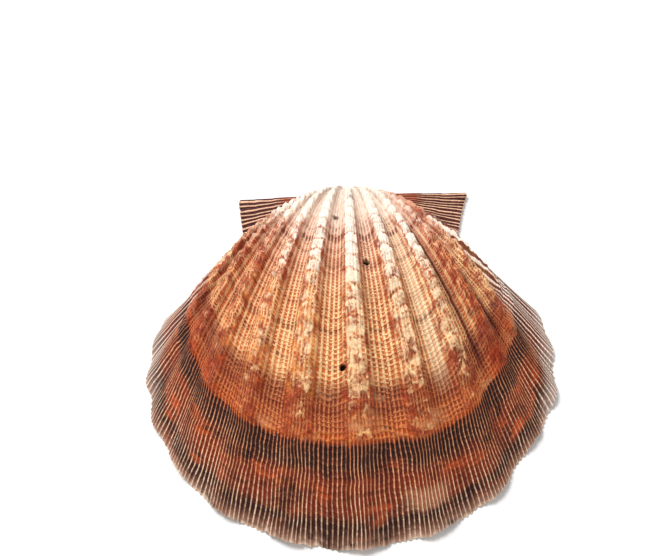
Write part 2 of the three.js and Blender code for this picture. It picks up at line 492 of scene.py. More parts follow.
def inner_point(fan, stage):
    """Points of the inner face in mm."""
    fold = INNER_FOLD * rib_relief(fan, stage) * np.clip(1 - fan**14, 0, 1)
    point = smooth_dome(fan, stage) + outward(fan, stage) * fold[..., None]
    wall = blend_between(BEAK_WALL, RIM_WALL, stage)
    point = point + towards_middle(point) * wall[..., None]
    point[..., 2] += INNER_LIFT * rim_lift(fan, stage)
    return worn_rim(fan, stage, point)


inner = add_map("inner_face", COLUMNS // SKIP, ROWS // SKIP)
fan, stage, phase = from_map(read_points(inner))
write_points(inner, inner_point(fan, stage))
write_values(
    inner,
    fan=fan,
    stage=stage,
    growth=growth_line(fan, stage),
    riblet=phase,
    rib=rib_wave(fan),
    side=np.ones(len(fan)),
)
print("inner face:", len(inner.data.vertices), "points")


# %% Sew the two faces together round the rim
def rim_of_map(columns, rows, first=0):
    """The points round the edge of a grid, in order, as vertex numbers."""
    across, along = np.arange(columns), np.arange(rows)
    width = columns + 1
    return first + np.concatenate(
        [
            across,
            columns + along * width,
            rows * width + columns - across,
            (rows - along) * width,
        ]
    )


deselect_all()
inner.select_set(True)
outer.select_set(True)
bpy.context.view_layer.objects.active = outer
points_before = len(outer.data.vertices)
bpy.ops.object.join()
outer_rim = rim_of_map(COLUMNS, ROWS)
inner_rim = rim_of_map(COLUMNS // SKIP, ROWS // SKIP, points_before)
mesh = bmesh.new()
mesh.from_mesh(outer.data)
mesh.verts.ensure_lookup_table()
for step, corner in enumerate(inner_rim):
    lip = mesh.verts[corner]
    next_lip = mesh.verts[inner_rim[(step + 1) % len(inner_rim)]]
    edge = [mesh.verts[outer_rim[(SKIP * step + k) % len(outer_rim)]] for k in range(SKIP + 1)]
    half = SKIP // 2
    for k in range(half):
        mesh.faces.new((lip, edge[k], edge[k + 1]))
    mesh.faces.new((lip, edge[half], next_lip))
    for k in range(half, SKIP):
        mesh.faces.new((next_lip, edge[k], edge[k + 1]))
mesh.to_mesh(outer.data)
mesh.free()
print("disc:", len(outer.data.polygons), "faces")

# %% [markdown]
# ## The ears
# Two thin ears flank the beak along the hinge line. Each is a fan of rays from the beak: a ray
# runs along a riblet, and the distance out along the rays is growth again. The front ear is the
# longer one. Below its riblets lies a smooth strip, where the notch for the animal's anchoring
# threads used to be while the ear grew outward. Each ear is a grid, extruded to a closed plate,
# whose inner edge reaches into the wall of the disc.

# %% Sizes of the ears
EAR_SEAT = 1.2
EAR_RIBLET_HEIGHT = 0.55
EAR_HALT_DROP = 0.22
EAR_ROWS = 36
COLUMNS_PER_EAR_RIBLET = 6
SMOOTH_STRIP_COLUMNS = 14
EAR_BEGINS = 0.05


def shoulder_seat(side, stage):
    """Where an ear meets the disc: on the shoulder, a little way into the wall. Plan only."""
    shoulder = smooth_dome(np.full(np.shape(stage), float(side)), stage)
    return (shoulder + EAR_SEAT * towards_middle(shoulder))[..., :2]


FRONT_EAR = {
    "side": 1,
    "thickness": 2.0,
    "foot_stage": 0.4,
    "hinge_corner": np.array([46.0, HINGE_Y + HINGE_BACK]),
    "bulge": np.array([42.0, HINGE_Y - 10.2]),
    "lower_corner": np.array([41.0, HINGE_Y - 20.5]),
    "riblets": 11,
    "corner_at": 0.7,
    "smooth_from": 0.55,
    "halts": (0.36, 0.64, 0.8),
}
REAR_EAR = {
    "side": -1,
    "thickness": 1.94,
    "foot_stage": 0.6,
    "hinge_corner": np.array([-42.0, HINGE_Y + HINGE_BACK]),
    "bulge": np.array([-39.5, HINGE_Y - 16.5]),
    "lower_corner": shoulder_seat(-1, np.array([0.6]))[0],
    "riblets": 14,
    "corner_at": 1.0,
    "smooth_from": 1.0,
    "halts": (0.45, 0.7, 0.86),
}


# %% Shape of an ear
def ear_edge(ear, ray):
    """The outer edge, from the hinge corner (ray 0) to the foot on the shoulder (ray 1)."""
    along = np.clip(ray / ear["corner_at"], 0, 1)[:, None]
    edge = ear["hinge_corner"] * (1 - along) ** 2
    edge = edge + 2 * ear["bulge"] * along * (1 - along) + ear["lower_corner"] * along**2
    notch_width = max(1 - ear["corner_at"], 0.01)
    back = np.clip((ray - ear["corner_at"]) / notch_width, 0, 1)[:, None]
    foot = shoulder_seat(ear["side"], np.array([ear["foot_stage"]]))
    return edge + (foot - ear["lower_corner"]) * back


def ear_riblet_wave(ear, ray, growth):
    """Riblets of uneven width. They are finer on the part that grew first."""
    phase = ear["riblets"] * ray / ear["smooth_from"] + 0.5
    sway = 0.5 * rough_noise(phase * 0.35, growth * 0, 71)
    sway = sway + 0.2 * rough_noise(phase, growth * 7, 73)
    wave = 0.5 + 0.5 * np.cos(2 * np.pi * (phase + sway))
    return wave * (1 - ease(ray, ear["smooth_from"] - 0.01, ear["smooth_from"] + 0.03))


def ear_point(ear, ray, growth, on_top):
    """Points of an ear in mm. on_top is true for the upper face."""
    edge = ear_edge(ear, ray)
    past_beak = -ear["hinge_corner"][0] * EAR_BEGINS / (1 - EAR_BEGINS)
    start = np.array([past_beak, HINGE_Y + HINGE_BACK])
    straight = start + (edge - start) * growth[:, None]
    foot = shoulder_seat(ear["side"], np.array([ear["foot_stage"]]))
    straight_shoulder = start + (foot - start) * growth[:, None]
    seat = shoulder_seat(ear["side"], ear["foot_stage"] * growth)
    plan = straight + (seat - straight_shoulder) * (ray**3)[:, None]
    wave = ear_riblet_wave(ear, ray, growth)
    tooth = 0.9 * (wave - 0.4) * ease(growth, 0.9, 1.0) * (1 - ray)
    plan = plan + np.array([ear["side"], 0.0]) * tooth[:, None]
    halts = sum(ease(growth, halt - 0.012, halt) for halt in ear["halts"])
    grown = 0.35 + 0.65 * growth
    top = ear["thickness"] + 2.4 * (1 - growth) ** 2 - EAR_HALT_DROP * halts
    top = top + EAR_RIBLET_HEIGHT * wave * grown + 0.35 * rough_noise(ray * 3, growth * 4, 75)
    if ear["smooth_from"] < 1:
        top = top + 0.8 * ease(ray, ear["smooth_from"], 1.0)
    bottom = 0.25 + 0.2 * wave
    return np.column_stack([plan, np.where(on_top, top, bottom)])


# %% Build both ears
def build_ear(name, ear):
    """Both faces and the edges of one ear. Its fan value is the ray, and rib is its side."""
    columns = ear["riblets"] * COLUMNS_PER_EAR_RIBLET
    strip_columns = SMOOTH_STRIP_COLUMNS if ear["smooth_from"] < 1 else 0
    piece = add_map(name, columns + strip_columns, EAR_ROWS)
    bpy.ops.object.mode_set(mode="EDIT")
    bpy.ops.mesh.select_all(action="SELECT")
    bpy.ops.mesh.extrude_region_move(TRANSFORM_OT_translate={"value": (0, 0, 1)})
    bpy.ops.object.mode_set(mode="OBJECT")
    flat = read_points(piece)
    on_top = flat[:, 2] > 0.5
    column = (flat[:, 0] + 0.5) * (columns + strip_columns)
    last_column = columns + max(strip_columns, 1)
    ray = np.interp(column, [0, columns, last_column], [0, ear["smooth_from"], 1])
    growth = blend_between(EAR_BEGINS, 1.0, flat[:, 1] + 0.5)
    write_points(piece, ear_point(ear, ray, growth, on_top))
    write_values(
        piece,
        fan=ray,
        stage=growth,
        growth=growth,
        riblet=ear_riblet_wave(ear, ray, growth),
        rib=np.full(len(ray), float(ear["side"])),
        side=np.where(on_top, 0.0, 1.0),
    )
    print(name, len(piece.data.polygons), "faces")
    return piece


front_ear = build_ear("front_ear", FRONT_EAR)
rear_ear = build_ear("rear_ear", REAR_EAR)

# %% [markdown]
# ## One closed piece with a map for its surface
# The disc and the ears are joined into one object, and all faces are turned outwards. The
# surface map lays the outer face out as a rectangle of fan and stage over the whole width, so
# that every riblet gets its share of the map. The inner face and the ears go into the strip
# above it.

# %% Join and close
DISC_FACES = len(outer.data.polygons)
EAR_FACES = len(front_ear.data.polygons)
deselect_all()
for piece in (outer, front_ear, rear_ear):
    piece.select_set(True)
bpy.context.view_layer.objects.active = outer
bpy.ops.object.join()
valve = outer
bpy.ops.object.mode_set(mode="EDIT")
bpy.ops.mesh.select_mode(type="VERT")
bpy.ops.mesh.select_all(action="SELECT")
bpy.ops.mesh.normals_make_consistent(inside=False)
bpy.ops.mesh.select_all(action="DESELECT")
bpy.ops.mesh.select_non_manifold()
bpy.ops.object.mode_set(mode="OBJECT")
open_points = sum(vertex.select for vertex in valve.data.vertices)
bpy.ops.object.shade_smooth_by_angle(angle=math.radians(58))
triangles = sum(len(face.vertices) - 2 for face in valve.data.polygons)
print("open points:", open_points, "triangles:", triangles)


# %% Surface map
OUTER_FACE, EAR_TOP, INSIDE, EAR_UNDERSIDE = range(4)
FINISH_OF_PART = np.array([0, 1, 2, 2], dtype=np.int32)
MAP_MARGIN = 0.01
OUTER_WIDTH, OUTER_HEIGHT = 0.98, 0.58
UPPER_STRIP = 0.62
INSIDE_WIDTH, INSIDE_HEIGHT = 0.46, 0.37
EAR_WIDTH, EAR_HEIGHT = 0.24, 0.1805
REAR_EAR_STRIP = 0.81
LEFT_OF_EARS = {EAR_TOP: 0.49, EAR_UNDERSIDE: 0.75}
LIP_AT_SIDES, LIP_AT_RIM = 0.006, 0.008


def read_layer(mesh, name):
    numbers = np.empty(len(mesh.vertices), dtype=np.float32)
    mesh.attributes[name].data.foreach_get("value", numbers)
    return numbers


def corners_of(mesh):
    """For each face corner, its point and its face."""
    corner_point = np.empty(len(mesh.loops), dtype=np.int32)
    mesh.loops.foreach_get("vertex_index", corner_point)
    sizes = np.empty(len(mesh.polygons), dtype=np.int32)
    mesh.polygons.foreach_get("loop_total", sizes)
    return corner_point, np.repeat(np.arange(len(sizes)), sizes)


shape = valve.data
corner_point, corner_face = corners_of(shape)
fan = read_layer(shape, "fan")[corner_point]
stage = read_layer(shape, "stage")[corner_point]
side = read_layer(shape, "side")[corner_point]
share_inside = np.bincount(corner_face, side) / np.bincount(corner_face)
face_part = np.full(len(shape.polygons), OUTER_FACE)
face_part[share_inside > 0.99] = INSIDE
face_part[DISC_FACES:] = np.where(share_inside[DISC_FACES:] > 0.99, EAR_UNDERSIDE, EAR_TOP)
before_rear_ear = (np.arange(len(shape.polygons)) < DISC_FACES + EAR_FACES)[corner_face]

part = face_part[corner_face]
across = 0.5 + 0.5 * fan
along = (stage - BEAK_STAGE) / (1 - BEAK_STAGE)
u = MAP_MARGIN + OUTER_WIDTH * across
v = MAP_MARGIN + OUTER_HEIGHT * along
lip = (part == OUTER_FACE) & (side > 0.5)
u = np.where(lip, u + LIP_AT_SIDES * np.sign(fan) * (np.abs(fan) > 0.99), u)
v = np.where(lip & (along > 0.99), v + LIP_AT_RIM, v)
v = np.where(lip & (along < 0.01), v - LIP_AT_SIDES, v)
u = np.where(part == INSIDE, MAP_MARGIN + INSIDE_WIDTH * across, u)
v = np.where(part == INSIDE, UPPER_STRIP + INSIDE_HEIGHT * along, v)
for ear_part, left in LEFT_OF_EARS.items():
    bottom = np.where(before_rear_ear, UPPER_STRIP, REAR_EAR_STRIP)
    u = np.where(part == ear_part, left + EAR_WIDTH * fan, u)
    v = np.where(part == ear_part, bottom + EAR_HEIGHT * np.clip(stage, 0, 1), v)
surface_map = shape.uv_layers.new(name="OFBake")
surface_map.data.foreach_set("uv", np.column_stack([u, v]).ravel())
shape.polygons.foreach_set("material_index", FINISH_OF_PART[face_part])
print("faces on the outer face, ears and inside:", np.bincount(face_part))

# %% [markdown]
# ## Colour from growth coordinates
# The finish is grown like the shape. The animal lays pigment down along the rim, so a change
# in time becomes a band along a growth line, and a difference between two places on its mantle
# becomes a stripe along a rib or a riblet. The materials read the same fan, growth and riblet
# values that shaped the mesh, so no stripe can slip off its ridge. An image or a pattern in
# plain space could not follow them.

# %% Helpers for node trees
def on_screen(red, green, blue):
    """A colour as a screen shows it, 0 to 255, turned into the light that a shader works in."""
    light = []
    for channel in (red, green, blue):
        share = channel / 255
        light.append(share / 12.92 if share < 0.04045 else ((share + 0.055) / 1.055) ** 2.4)
    return (*light, 1.0)


def add_node(tree, kind, **settings):
    node = tree.nodes.new(kind)
    for name, value in settings.items():
        setattr(node, name, value)
    return node


def feed(tree, socket, value):
    """Links an output to the socket, or sets the socket to a plain value."""
    if isinstance(value, bpy.types.NodeSocket):
        tree.links.new(value, socket)
    else:
        socket.default_value = value


def maths(tree, operation, *values):
    node = add_node(tree, "ShaderNodeMath", operation=operation)
    for socket, value in zip(node.inputs, values):
        feed(tree, socket, value)
    return node.outputs[0]


def product(tree, *values):
    """All values multiplied together."""
    total = values[0]
    for value in values[1:]:
        total = maths(tree, "MULTIPLY", total, value)
    return total


def inverse(tree, value):
    return maths(tree, "SUBTRACT", 1.0, value)


def rise(tree, value, start, end, low=0.0, high=1.0):
    """low before start, high after end, and a smooth rise between them."""
    node = add_node(tree, "ShaderNodeMapRange", interpolation_type="SMOOTHSTEP")
    limits = {"From Min": start, "From Max": end, "To Min": low, "To Max": high}
    feed(tree, node.inputs["Value"], value)
    for name, number in limits.items():
        feed(tree, node.inputs[name], number)
    return node.outputs[0]


def band(tree, value, centre, half_width, soft):
    """1 within half_width of centre, with soft sides."""
    away = maths(tree, "ABSOLUTE", maths(tree, "SUBTRACT", value, centre))
    return rise(tree, away, half_width, half_width + soft, 1.0, 0.0)


def mix_colours(tree, share, first, second, blend="MIX"):
    node = add_node(tree, "ShaderNodeMix", data_type="RGBA", blend_type=blend)
    feed(tree, node.inputs[0], share)
    feed(tree, node.inputs[6], first)
    feed(tree, node.inputs[7], second)
    return node.outputs[2]


def colour_ramp(tree, place, stops):
    """A colour for each place from 0 to 1. stops are (place, (red, green, blue)) pairs."""
    node = add_node(tree, "ShaderNodeValToRGB")
    ramp = node.color_ramp
    while len(ramp.elements) < len(stops):
        ramp.elements.new(0.5)
    for element, (position, _) in zip(ramp.elements, stops):
        element.position = position
    for element, (_, colour) in zip(ramp.elements, stops):
        element.color = on_screen(*colour)
    feed(tree, node.inputs[0], place)
    return node.outputs[0]


def read_value(tree, name):
    return add_node(tree, "ShaderNodeAttribute", attribute_name=name).outputs["Fac"]


def pair(tree, across, along, seed=0.0):
    node = add_node(tree, "ShaderNodeCombineXYZ")
    for socket, value in zip(node.inputs, (across, along, seed)):
        feed(tree, socket, value)
    return node.outputs[0]


def new_group(name, inputs, outputs):
    """An empty node group with number sockets. Returns it with its input and output nodes."""
    group = bpy.data.node_groups.new(name, "ShaderNodeTree")
    for socket in inputs:
        group.interface.new_socket(socket, in_out="INPUT", socket_type="NodeSocketFloat")
    for socket in outputs:
        group.interface.new_socket(socket, in_out="OUTPUT", socket_type="NodeSocketFloat")
    return group, group.nodes.new("NodeGroupInput"), group.nodes.new("NodeGroupOutput")


def use_group(tree, group, **inputs):
    node = add_node(tree, "ShaderNodeGroup", node_tree=group)
    for name, value in inputs.items():
        feed(tree, node.inputs[name.capitalize()], value)
    return node


# %% [markdown]
# Three effects are used by more than one material, so each is a node group. Blotches are spots
# of pigment whose size is given across and along growth. Growth lines are the fine threads
# where the rim paused for a day or so. Grain is the tooth of the worn surface.

# %% Shared effects
def make_blotches():
    """A mask of spots. Share is how much of the surface they cover, and Soft widens their edges."""
    inputs = ("Across", "Along", "Seed", "Share", "Soft")
    group, given, out = new_group("blotches", inputs, ("Mask",))
    place = pair(group, given.outputs["Across"], given.outputs["Along"], given.outputs["Seed"])
    noise = add_node(group, "ShaderNodeTexNoise", noise_dimensions="3D")
    feed(group, noise.inputs["Vector"], place)
    feed(group, noise.inputs["Scale"], 1.0)
    feed(group, noise.inputs["Detail"], 3.0)
    feed(group, noise.inputs["Roughness"], 0.6)
    edge = rise(group, given.outputs["Share"], 0.0, 1.0, 0.74, 0.26)
    full = maths(group, "ADD", edge, given.outputs["Soft"])
    feed(group, out.inputs["Mask"], rise(group, noise.outputs[0], edge, full))
    return group


def make_growth_lines():
    """Fine lines across the riblets, closer together towards the beak. Line is 1 on a line, and
    Row is a number for each gap between two lines."""
    inputs = ("Fan", "Growth", "Count")
    group, given, out = new_group("growth_lines", inputs, ("Line", "Row"))
    noise = add_node(group, "ShaderNodeTexNoise", noise_dimensions="2D")
    across = maths(group, "MULTIPLY", given.outputs["Fan"], 9.0)
    along = maths(group, "MULTIPLY", given.outputs["Growth"], 30.0)
    feed(group, noise.inputs["Vector"], pair(group, across, along))
    feed(group, noise.inputs["Scale"], 1.0)
    closer = maths(group, "MULTIPLY_ADD", given.outputs["Growth"], -0.45, 1.5)
    even = product(group, given.outputs["Growth"], closer, given.outputs["Count"])
    uneven = maths(group, "MULTIPLY_ADD", noise.outputs[0], 1.6, even)
    part = maths(group, "FRACT", uneven)
    from_line = maths(group, "ABSOLUTE", maths(group, "SUBTRACT", part, 0.5))
    feed(group, out.inputs["Line"], rise(group, from_line, 0.2, 0.42))
    feed(group, out.inputs["Row"], maths(group, "FLOOR", uneven))
    return group


def make_grain():
    """Fine tooth of the surface, for height and for roughness."""
    group, given, out = new_group("grain", ("Size",), ("Height", "Tooth"))
    place = add_node(group, "ShaderNodeTexCoord").outputs["Object"]
    scale = maths(group, "DIVIDE", 1.0, given.outputs["Size"])
    fine = add_node(group, "ShaderNodeTexNoise")
    feed(group, fine.inputs["Vector"], place)
    feed(group, fine.inputs["Scale"], scale)
    feed(group, fine.inputs["Detail"], 3.0)
    broad = add_node(group, "ShaderNodeTexNoise")
    feed(group, broad.inputs["Vector"], place)
    feed(group, broad.inputs["Scale"], maths(group, "MULTIPLY", scale, 0.12))
    feed(group, out.inputs["Height"], fine.outputs[0])
    feed(group, out.inputs["Tooth"], broad.outputs[0])
    return group


BLOTCHES = make_blotches()
GROWTH_LINES = make_growth_lines()
GRAIN = make_grain()


def blotches(tree, across, along, fan_scale, growth_scale, seed, share, soft=0.1):
    """Spots sized in fan and growth units."""
    wide = maths(tree, "MULTIPLY", across, fan_scale)
    tall = maths(tree, "MULTIPLY", along, growth_scale)
    node = use_group(tree, BLOTCHES, across=wide, along=tall, seed=seed, share=share, soft=soft)
    return node.outputs["Mask"]


def new_material(name, roughness):
    """A material with an empty Principled shader. Returns it with its tree and its shader."""
    material = bpy.data.materials.new(name)
    material.use_nodes = True
    shader = material.node_tree.nodes["Principled BSDF"]
    shader.inputs["Roughness"].default_value = roughness
    return material, material.node_tree, shader


def raise_surface(tree, shader, height, distance_mm, strength=1.0):
    bump = add_node(tree, "ShaderNodeBump")
    bump.inputs["Strength"].default_value = strength
    bump.inputs["Distance"].default_value = distance_mm * MM
    feed(tree, bump.inputs["Height"], height)
    feed(tree, shader.inputs["Normal"], bump.outputs["Normal"])


# %% [markdown]
# ## Finish of the outer face
# The grooves and the ridges each have a colour for every growth stage, and the riblet wave
# picks between them. Fine growth lines then cross the grooves and break them into dashes, as
# warp and weft do in cloth. Ribs get rust, gold, plum, cream and white over that. The last
# fifth, grown after the sharp halt, is dark chocolate and rust with thin pale threads.

# %% Colours of ridges and grooves, from beak to rim
RIDGE_COLOURS = (
    (0.03, (232, 216, 200)),
    (0.24, (238, 222, 206)),
    (0.34, (242, 218, 196)),
    (0.42, (252, 216, 182)),
    (0.54, (255, 216, 162)),
    (0.7, (255, 214, 154)),
    (0.735, (188, 108, 64)),
    (0.775, (204, 122, 70)),
    (0.815, (222, 130, 68)),
    (0.823, (200, 116, 76)),
    (0.868, (255, 186, 136)),
    (0.9, (255, 200, 146)),
    (0.95, (255, 222, 180)),
    (0.982, (246, 214, 184)),
    (1.0, (246, 222, 198)),
)
GROOVE_COLOURS = (
    (0.03, (222, 200, 184)),
    (0.24, (222, 190, 172)),
    (0.32, (228, 180, 154)),
    (0.42, (206, 118, 82)),
    (0.54, (200, 96, 46)),
    (0.7, (216, 108, 46)),
    (0.735, (96, 32, 12)),
    (0.775, (150, 56, 20)),
    (0.815, (182, 66, 20)),
    (0.823, (46, 13, 6)),
    (0.862, (50, 15, 7)),
    (0.885, (128, 40, 14)),
    (0.94, (124, 40, 14)),
    (0.958, (56, 17, 8)),
    (0.97, (68, 26, 15)),
    (0.982, (120, 74, 56)),
    (0.994, (168, 124, 102)),
    (1.0, (226, 196, 172)),
)

# %% Colours that are painted over the weave
DASH_RED = on_screen(92, 20, 8)
ROW_BROWN = on_screen(128, 44, 18)
ROW_TAN = on_screen(206, 124, 78)
PALE_GROOVE = on_screen(244, 200, 150)
PALE_RIDGE = on_screen(255, 236, 208)
DULL_THREAD = on_screen(134, 54, 28)
RUST_COLOURS = ((0.0, (140, 42, 16)), (0.5, (206, 92, 36)), (1.0, (255, 204, 134)))
DARK_CRUST = on_screen(104, 32, 18)
GOLD = on_screen(250, 158, 66)
PLUM = on_screen(94, 36, 28)
CREAM_COLOURS = (
    (0.1, (246, 232, 216)),
    (0.3, (255, 240, 224)),
    (0.45, (255, 242, 224)),
    (0.56, (255, 228, 190)),
    (0.8, (255, 198, 132)),
)
# darker, pinker cream for the gaps between ribs: partly the shell's own tint, partly painted shade
GAP_TINT_AND_SHADE = on_screen(232, 200, 178)
HONEY = on_screen(234, 140, 62)
ARC_BROWN = on_screen(196, 112, 68)
RED_STAIN = on_screen(222, 176, 154)
# painted shade for the tight gaps beside the outer ribs
GAP_SHADE_COLOUR = on_screen(128, 78, 60)
HALT_BROWN = on_screen(122, 40, 22)
CLOUD_RUST = on_screen(196, 78, 28)
CLOUD_NIGHT = on_screen(36, 9, 5)
FLECK_RUST = on_screen(214, 112, 62)
STREAK_STAIN = on_screen(176, 140, 124)
WORN_COLOURS = ((0.0, (176, 112, 78)), (1.0, (246, 214, 178)))
SIDE_COLOURS = ((0.0, (104, 50, 32)), (0.26, (228, 192, 166)), (1.0, (255, 244, 232)))
SIDE_AT_RIM = on_screen(240, 224, 212)
WALL_COLOURS = (
    (0.1, (240, 222, 204)),
    (0.4, (216, 166, 138)),
    (0.7, (196, 138, 110)),
    (1.0, (214, 190, 172)),
)
WALL_LINE = on_screen(146, 88, 64)
# painted shade inside the boreholes
BOREHOLE_SHADE = on_screen(40, 18, 12)


# %% Masks of the outer face
def riblet_mask(tree, phase, growth):
    """1 on the ridges and 0 in the grooves, with the same change in number as in the mesh."""
    grown = maths(tree, "COSINE", product(tree, phase, 2 * math.pi))
    first = maths(tree, "COSINE", product(tree, phase, 2 * math.pi * YOUNG_RIBLETS))
    share = rise(tree, growth, *NEW_RIBLETS_COME)
    both = maths(
        tree, "ADD", product(tree, grown, share), product(tree, first, inverse(tree, share))
    )
    narrow = rise(tree, growth, 0.8, 0.84, -0.1, 0.34)
    return rise(tree, both, narrow, maths(tree, "ADD", narrow, 0.8))


def cell_number(tree, phase, row, seed):
    """A random number for each groove and each gap between growth lines."""
    number = add_node(tree, "ShaderNodeTexWhiteNoise", noise_dimensions="3D")
    groove = maths(tree, "FLOOR", maths(tree, "ADD", phase, 0.5))
    feed(tree, number.inputs["Vector"], pair(tree, groove, row, seed))
    return number.outputs["Value"]


def spots(tree, at, per_fan, per_growth, seed, share, soft):
    """Blotches on the outer face: per_fan across one unit of fan, per_growth from beak to rim."""
    return blotches(tree, at["fan"], at["growth"], per_fan, per_growth, seed, share, soft)


# %% Layers of the outer finish, each painted over the one before
def paint_dashes(tree, at, number, ridge, groove):
    """Red dashes in the grooves and brown rows between two growth lines, rib gap by rib gap."""
    clusters = spots(tree, at, per_fan=12, per_growth=26, seed=3.0, share=0.5, soft=0.2)
    dashes = product(tree, rise(tree, number, 0.15, 0.8), clusters, at["in_weave"], 0.9)
    groove = mix_colours(tree, dashes, groove, DASH_RED)
    gap_number = maths(tree, "FLOOR", maths(tree, "MULTIPLY", at["fan"], 5.3))
    row_number = cell_number(tree, gap_number, at["row"], 13.0)
    brown_row = product(tree, rise(tree, row_number, 0.5, 1.0), at["in_weave"], 0.6)
    groove = mix_colours(tree, brown_row, groove, ROW_BROWN)
    ridge = mix_colours(tree, product(tree, brown_row, 0.8), ridge, ROW_TAN)
    return ridge, groove


def paint_pale_places(tree, at, ridge, groove):
    """Cream places in the weave, and one pale gap between two front ribs."""
    pale_gap = product(
        tree,
        band(tree, at["fan"], 0.325, 0.01, 0.035),
        rise(tree, at["growth"], 0.3, 0.4),
        rise(tree, at["growth"], 0.66, 0.78, 1.0, 0.0),
        1.2,
    )
    pale = spots(tree, at, per_fan=7, per_growth=18, seed=8.0, share=0.45, soft=0.2)
    pale = product(tree, maths(tree, "MAXIMUM", pale, pale_gap), at["in_weave"], 0.55)
    groove = mix_colours(tree, pale, groove, PALE_GROOVE)
    ridge = mix_colours(tree, product(tree, pale_gap, 0.4), ridge, PALE_RIDGE)
    return ridge, groove


def paint_threads(tree, at, number, ridge, groove):
    """The pale threads of the last growth: beaded by growth lines, uneven and dull in places."""
    last = rise(tree, at["growth"], 0.82, 0.84)
    on_bead = inverse(tree, at["line"])
    beads = product(tree, on_bead, rise(tree, number, 0.2, 0.9, 0.05, 0.5), last)
    ridge = mix_colours(tree, beads, ridge, groove)
    thread = cell_number(tree, at["phase"], 0.0, 9.0)
    thin = product(tree, rise(tree, thread, 0.3, 0.9), last, 0.45)
    ridge = mix_colours(tree, thin, ridge, groove)
    dull = blotches(tree, at["phase"], at["growth"], 0.4, 11, 12.0, 0.45, 0.25)
    return mix_colours(tree, product(tree, dull, last, 0.8), ridge, DULL_THREAD)


def paint_weave(tree, at):
    """Ridges and grooves, with dashes between the growth lines."""
    ridge = colour_ramp(tree, at["growth"], RIDGE_COLOURS)
    groove = colour_ramp(tree, at["growth"], GROOVE_COLOURS)
    number = cell_number(tree, at["phase"], at["row"], 3.0)
    ridge, groove = paint_dashes(tree, at, number, ridge, groove)
    ridge, groove = paint_pale_places(tree, at, ridge, groove)
    crossing = product(tree, at["line"], at["in_weave"], rise(tree, number, 0.1, 0.9, 0.25, 1.0))
    groove = mix_colours(tree, crossing, groove, ridge)
    ridge = paint_threads(tree, at, number, ridge, groove)
    return mix_colours(tree, at["ridge"], groove, ridge)


def paint_ribs(tree, at, colour):
    """Rust and dark crust on the ribs and down their sides, with gold and plum patches."""
    on_rib = rise(tree, at["rib"], 0.2, 0.6)
    rusty = spots(tree, at, per_fan=24, per_growth=30, seed=15.0, share=0.62, soft=0.2)
    tones = spots(tree, at, per_fan=46, per_growth=60, seed=21.0, share=0.62, soft=0.45)
    rust = colour_ramp(tree, tones, RUST_COLOURS)
    colour = mix_colours(tree, product(tree, on_rib, at["on_grown"], rusty, 0.85), colour, rust)
    crust = spots(tree, at, per_fan=34, per_growth=60, seed=31.0, share=0.44, soft=0.18)
    crust = product(tree, on_rib, at["on_grown"], crust, 0.7)
    colour = mix_colours(tree, crust, colour, DARK_CRUST)
    gold = product(
        tree,
        on_rib,
        spots(tree, at, per_fan=30, per_growth=36, seed=33.0, share=0.6, soft=0.3),
        band(tree, at["fan"], -0.28, 0.16, 0.16),
        band(tree, at["growth"], 0.64, 0.07, 0.06),
        0.6,
    )
    colour = mix_colours(tree, gold, colour, GOLD)
    plum = product(
        tree,
        rise(tree, at["rib"], 0.1, 0.5),
        at["before_halt"],
        rise(tree, at["growth"], 0.56, 0.66),
        spots(tree, at, per_fan=11, per_growth=20, seed=36.0, share=0.42, soft=0.16),
        rise(tree, maths(tree, "ABSOLUTE", at["fan"]), 0.25, 0.45, 0.35, 1.0),
        0.8,
    )
    return mix_colours(tree, plum, colour, PLUM)


def paint_last_growth(tree, at, colour):
    """The part that grew after the sharp halt: rust and night-dark clouds, small flecks, long
    darker streaks and one worn patch near the rim."""
    grown_last = rise(tree, at["growth"], 0.82, 0.826)
    away_from_halt = rise(tree, at["growth"], 0.84, 0.88)
    groove_only = rise(tree, at["ridge"], 0.2, 1.0, 1.0, 0.35)
    rust = product(
        tree,
        spots(tree, at, per_fan=9, per_growth=24, seed=44.0, share=0.46, soft=0.16),
        away_from_halt,
        rise(tree, at["growth"], 0.95, 0.97, 1.0, 0.2),
        grown_last,
        groove_only,
        0.85,
    )
    colour = mix_colours(tree, rust, colour, CLOUD_RUST)
    night = spots(tree, at, per_fan=9, per_growth=30, seed=41.0, share=0.5, soft=0.16)
    by_groove = rise(tree, cell_number(tree, at["phase"], 0.0, 5.0), 0.1, 0.9, 0.35, 1.0)
    night = product(tree, night, by_groove, grown_last, groove_only)
    colour = mix_colours(tree, night, colour, CLOUD_NIGHT)
    flecks = product(
        tree,
        spots(tree, at, per_fan=16, per_growth=105, seed=47.0, share=0.36, soft=0.14),
        rise(tree, at["growth"], 0.85, 0.89),
        rise(tree, at["growth"], 0.95, 0.97, 1.0, 0.0),
        0.55,
    )
    colour = mix_colours(tree, flecks, colour, FLECK_RUST)
    streaks = spots(tree, at, per_fan=12, per_growth=2.5, seed=49.0, share=0.5, soft=0.2)
    streaks = product(tree, streaks, grown_last, 0.75)
    colour = mix_colours(tree, streaks, colour, STREAK_STAIN, blend="MULTIPLY")
    worn_across = band(tree, at["fan"], 0.2, 0.03, 0.05)
    worn_along = band(tree, at["growth"], 0.93, 0.012, 0.016)
    worn = colour_ramp(tree, at["ridge"], WORN_COLOURS)
    return mix_colours(tree, product(tree, worn_across, worn_along, 0.7), colour, worn)


